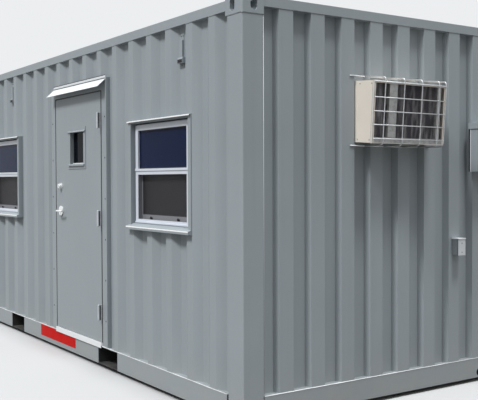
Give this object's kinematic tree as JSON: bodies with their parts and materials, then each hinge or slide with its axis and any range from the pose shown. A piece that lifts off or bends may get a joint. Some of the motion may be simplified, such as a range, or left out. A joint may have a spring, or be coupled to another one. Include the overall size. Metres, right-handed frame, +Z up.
{
  "type": "shipping container cabin",
  "caption": "Steel freight container turned into a site cabin, with an outward opening door, sash windows, a guarded air conditioner and lined walls.",
  "frame": {"origin": "on the ground under the middle of the whole part's box, guard cage and drip cap included", "axes": "+X along the container towards the end with the air conditioner, -Y out of the door side, +Z up"},
  "size_m": [6.2571, 2.501, 2.591],
  "materials": {
    "grey_paint": "satin grey paint with light weathering",
    "plywood": "oiled plywood",
    "lining_board": "off-white faced board",
    "mill_aluminium": "bright sheet",
    "window_white": "white coated aluminium",
    "clear_glass": "clear",
    "insect_mesh": "dark woven mesh",
    "satin_steel": "satin",
    "hinge_steel": "painted over",
    "cooler_beige": "baked beige enamel",
    "coil_fins": "dusty fins",
    "zinc_sheet": "zinc grey",
    "zinc_rod": "galvanised",
    "box_grey": "pale grey",
    "red_paint": "plain red"
  },
  "bodies": {
    "cabin": {"bottom_corner_castings": "grey_paint", "top_corner_castings": "grey_paint", "corner_posts": "grey_paint", "bottom_side_rails": "grey_paint", "end_sills": "grey_paint", "cross_members": "grey_paint", "forklift_pocket_sides": "grey_paint", "forklift_pocket_plates": "grey_paint", "top_side_rails": "grey_paint", "end_headers": "grey_paint", "roof_panel": "grey_paint", "front_wall_right": "grey_paint", "front_wall_left": "grey_paint", "front_wall_over_door": "grey_paint", "back_wall": "grey_paint", "near_end_wall": "grey_paint", "far_end_wall": "grey_paint", "door_jambs": "grey_paint", "door_head": "grey_paint", "window_surrounds": "grey_paint", "wall_ventilators": "grey_paint", "electrical_panel_box": "grey_paint", "plywood_floor": "plywood", "front_lining_right": "lining_board", "front_lining_left": "lining_board", "front_lining_over_door": "lining_board", "back_lining": "lining_board", "near_end_lining": "lining_board", "far_end_lining": "lining_board", "ceiling_lining": "lining_board", "door_threshold": "mill_aluminium", "door_drip_cap": "mill_aluminium", "window_frames": "window_white", "window_glass_panes": "clear_glass", "window_screens": "insect_mesh", "door_hinge_frame_leaves": "hinge_steel", "cooler_case": "cooler_beige", "cooler_coil": "coil_fins", "cooler_pan": "zinc_sheet", "cooler_guard": "zinc_rod", "junction_box": "box_grey", "rail_plate_red": "red_paint"},
    "door": {"door_leaf": "grey_paint", "door_vision_trim": "grey_paint", "door_vision_glass": "clear_glass", "door_hinge_leaves": "hinge_steel", "door_lock_roses": "satin_steel"},
    "lever": {"door_lever": "satin_steel"}
  },
  "joints": [
    {"name": "door_swing", "type": "hinge", "parent": "cabin", "child": "door", "pos_m": [0.953, -1.2115, 1.2], "axis": [0, 0, 1], "range_deg": [0, 110]},
    {"name": "lever_turn", "type": "hinge", "parent": "door", "child": "lever", "pos_m": [0.1395, -1.1815, 1.222], "axis": [0, 1, 0], "range_deg": [0, 45], "stiffness_Nm_per_rad": 1.5, "springref_deg": -17.19}
  ]
}
